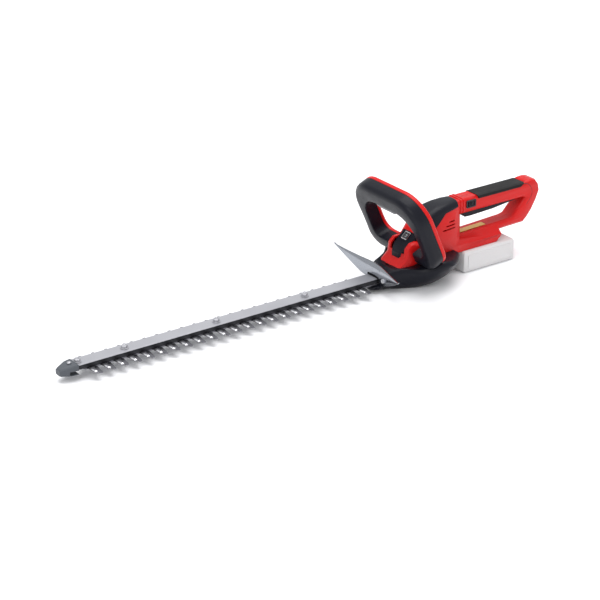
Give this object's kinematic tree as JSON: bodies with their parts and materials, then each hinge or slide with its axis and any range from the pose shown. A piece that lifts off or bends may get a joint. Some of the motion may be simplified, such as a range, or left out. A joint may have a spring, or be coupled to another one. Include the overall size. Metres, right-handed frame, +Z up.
{
  "type": "cordless hedge trimmer",
  "caption": "Long toothed reciprocating blade on a battery-powered body with a closed rear handle, a leaning front bail handle and a winged hand guard.",
  "frame": {"origin": "middle of the bounding box's bottom face, on the surface the tool stands on", "axes": "+X forward along the blade to its tip, +Y to the user's left, +Z up"},
  "size_m": [0.9794, 0.182, 0.1849],
  "materials": {
    "housing_red": "moulded red nylon, semi-gloss",
    "shell_dark": "charcoal grey moulded plastic, fine texture",
    "soft_grip": "black soft over-moulding",
    "control_black": "black moulded plastic",
    "rail_bright": "satin aluminium strip",
    "bar_black": "black anodised bar",
    "blade_steel": "hardened steel, ground bevels",
    "fastener": "zinc-plated steel",
    "guard_sheet": "satin grey formed sheet",
    "tip_slate": "slate grey moulded plastic",
    "badge_silver": "satin chrome",
    "steel_dark": "machined steel",
    "winding": "copper winding and sintered bronze",
    "casting": "cast aluminium",
    "board_green": "circuit board",
    "pack_pale": "pale grey translucent case",
    "label_amber": "printed amber strip, no text"
  },
  "bodies": {
    "tool": {"housing_left": "housing_red", "housing_right": "housing_red", "bail_rear": "housing_red", "base_shell": "shell_dark", "saddle_cover": "shell_dark", "front_cap": "shell_dark", "bail_front": "shell_dark", "cap_badge": "badge_silver", "bail_switch": "control_black", "grip_pad": "soft_grip", "trigger_pin": "steel_dark", "trigger_spring": "steel_dark", "lock_bezel": "control_black", "main_switch": "control_black", "hand_guard": "guard_sheet", "guard_screw": "fastener", "cover_rail": "rail_bright", "guide_bar": "bar_black", "blade_bolt_1": "fastener", "blade_bolt_2": "fastener", "blade_bolt_3": "fastener", "blade_bolt_4": "fastener", "tip_guard": "tip_slate", "tip_guard_screw": "fastener", "gearbox_plate": "casting", "gear_bearing": "fastener", "gear_bush": "winding", "motor_can": "steel_dark", "motor_bearing_lower": "fastener", "motor_bearing_upper": "fastener", "terminal_block": "control_black", "control_board": "board_green", "label_strip": "label_amber", "housing_screw_1": "fastener", "housing_screw_2": "fastener", "housing_screw_3": "fastener"},
    "upper_blade": {"upper_blade": "blade_steel"},
    "lower_blade": {"lower_blade": "blade_steel"},
    "gear": {"drive_gear": "steel_dark"},
    "rotor": {"motor_rotor": "winding"},
    "trigger": {"trigger": "control_black"},
    "lock_button": {"lock_button": "control_black"},
    "bail_bar": {"bail_switch_bar": "control_black"},
    "battery": {"battery_pack": "pack_pale"},
    "battery_latch": {"battery_latch": "tip_slate"}
  },
  "joints": [
    {"name": "upper_blade_slide", "type": "slide", "parent": "tool", "child": "upper_blade", "axis": [1, 0, 0], "range_m": [-0.008, 0.008]},
    {"name": "lower_blade_slide", "type": "slide", "parent": "tool", "child": "lower_blade", "axis": [1, 0, 0], "range_m": [-0.008, 0.008]},
    {"name": "gear_spin", "type": "hinge", "parent": "tool", "child": "gear", "pos_m": [-0.19675, 0, 0.02], "axis": [0, 0, 1], "continuous": true},
    {"name": "rotor_spin", "type": "hinge", "parent": "tool", "child": "rotor", "pos_m": [-0.24075, 0, 0.02], "axis": [0, 0, 1], "continuous": true},
    {"name": "trigger_pull", "type": "hinge", "parent": "tool", "child": "trigger", "pos_m": [-0.43875, 0, 0.1136], "axis": [0, -1, 0], "range_deg": [0, 3.2], "stiffness_Nm_per_rad": 4, "springref_deg": -3.44, "deforming": ["trigger_spring"]},
    {"name": "lock_press", "type": "slide", "parent": "tool", "child": "lock_button", "axis": [0, -1, 0], "range_m": [0, 0.0025], "stiffness_N_per_m": 300, "springref_m": -0.001},
    {"name": "bail_bar_press", "type": "slide", "parent": "tool", "child": "bail_bar", "axis": [0.4067, 0, 0.9135], "range_m": [0, 0.003], "stiffness_N_per_m": 600, "springref_m": -0.003},
    {"name": "battery_slide", "type": "slide", "parent": "tool", "child": "battery", "axis": [-1, 0, 0], "range_m": [0, 0.12]},
    {"name": "latch_press", "type": "slide", "parent": "battery", "child": "battery_latch", "axis": [1, 0, 0], "range_m": [0, 0.003], "stiffness_N_per_m": 400, "springref_m": -0.001}
  ],
  "couplings": [
    {"joint": "lower_blade_slide", "follows": "upper_blade_slide", "ratio": -1},
    {"joint": "rotor_spin", "follows": "gear_spin", "ratio": -4.8889}
  ]
}
